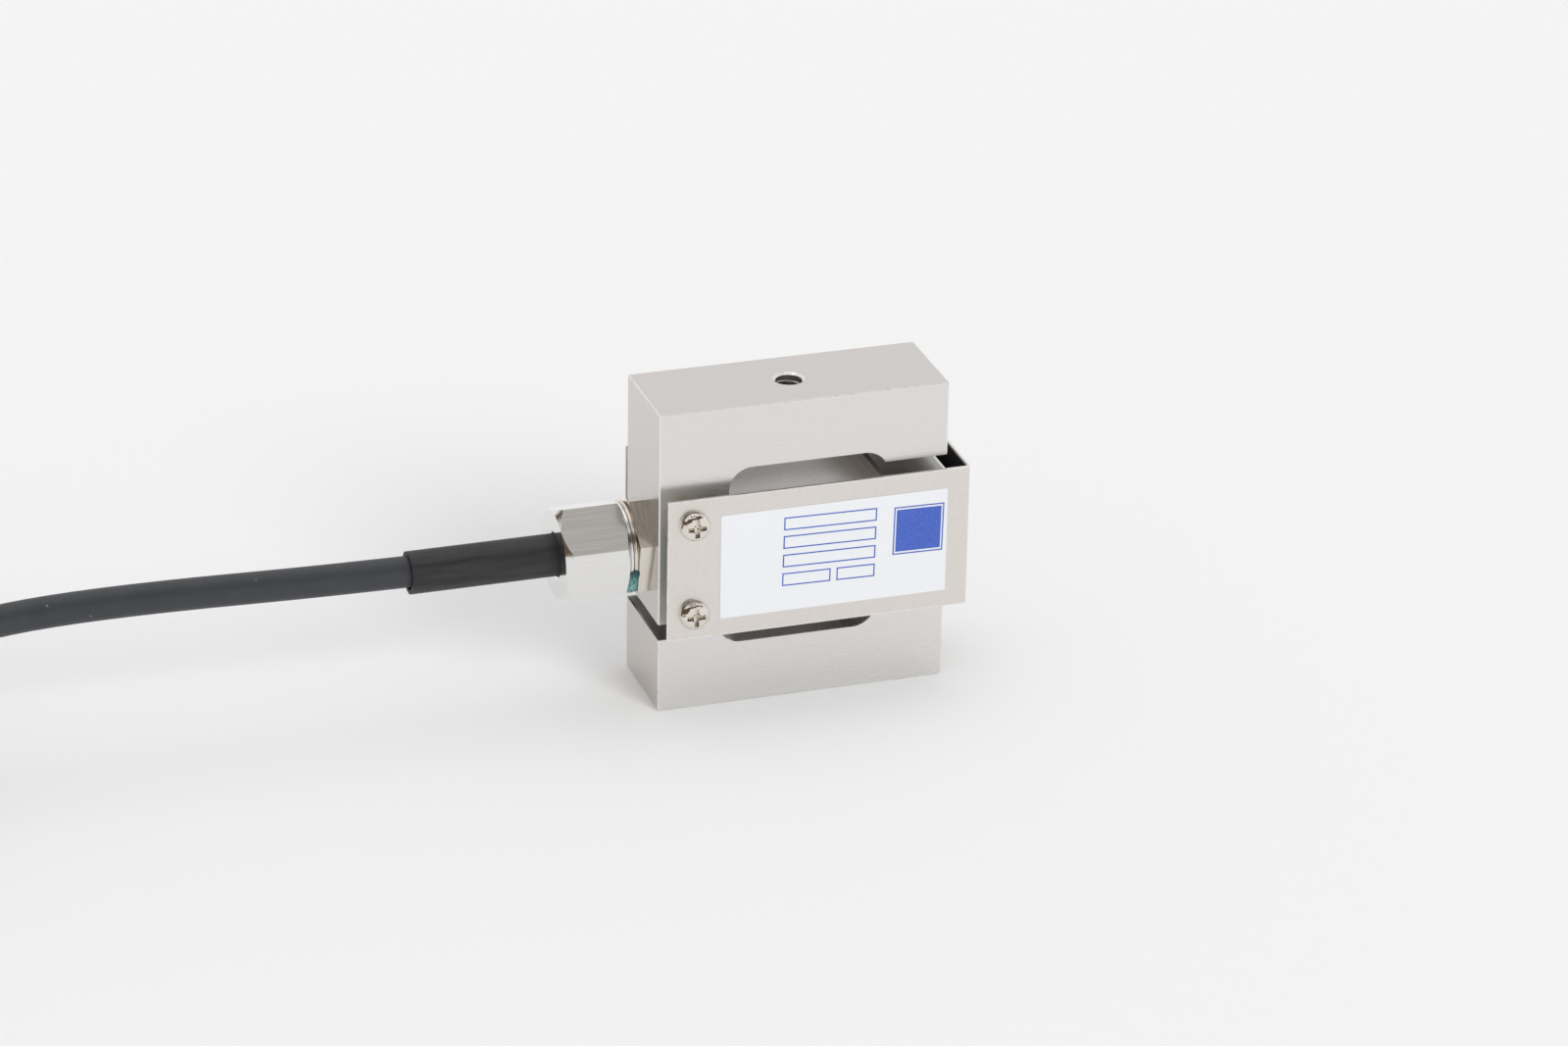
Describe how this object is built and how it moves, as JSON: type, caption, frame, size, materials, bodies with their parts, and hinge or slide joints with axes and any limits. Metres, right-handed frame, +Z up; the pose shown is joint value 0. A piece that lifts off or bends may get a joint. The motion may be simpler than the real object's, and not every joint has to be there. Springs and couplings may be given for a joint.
{
  "type": "s type load cell",
  "caption": "S-shaped load cell: slotted metal block with threaded ends, folded cover with a blank label, hidden strain gauges, hex cable gland and a hank of cable.",
  "frame": {"origin": "mouth of the lower threaded hole, in the middle of the block's bottom face", "axes": "+Z up along the load axis through both threaded holes, -Y the labelled front, +X away from the cable"},
  "size_m": [0.3515, 0.0594, 0.06],
  "materials": {
    "block_metal": "fine milled, lightly satin",
    "cover_sheet": "satin, faintly warm",
    "lining_film": "matt black film",
    "label_film": "white film with blue printed boxes",
    "screw_plate": "bright nickel plate",
    "spacer_brass": "turned brass",
    "gauge_film": "amber film with a foil grid",
    "coat_rubber": "grey cured sealant, fine-grained",
    "board_laminate": "green laminate with tinned pads",
    "chip_body": "small dark chips",
    "core_plastic": "coloured insulation",
    "gauge_wire": "enamelled wire",
    "gland_plate": "nickel-plated brass, brushed",
    "seal_rubber": "black rubber",
    "washer_brass": "turned brass",
    "sleeve_shrink": "black shrunk sleeve",
    "jacket": "matt blue-black jacket",
    "tie_plastic": "black band"
  },
  "bodies": {
    "root": {"s_body": "block_metal", "cover": "cover_sheet", "cover_lining": "lining_film", "label": "label_film", "cover_screws": "screw_plate", "screw_spacers": "spacer_brass", "gauge_upper_left": "gauge_film", "gauge_upper_right": "gauge_film", "gauge_lower_left": "gauge_film", "gauge_lower_right": "gauge_film", "upper_coating": "coat_rubber", "lower_coating": "coat_rubber", "terminal_board": "board_laminate", "trim_resistors": "chip_body", "signal_leads": "core_plastic", "gauge_leads": "gauge_wire", "gland_body": "gland_plate", "gland_nut": "gland_plate", "gland_seal": "seal_rubber", "gland_washer": "washer_brass", "cable_sleeve": "sleeve_shrink", "cable_tube": "jacket", "cable_hank": "jacket", "hank_ties": "tie_plastic", "end_collar": "sleeve_shrink", "lead_ends": "core_plastic"}
  },
  "joints": []
}
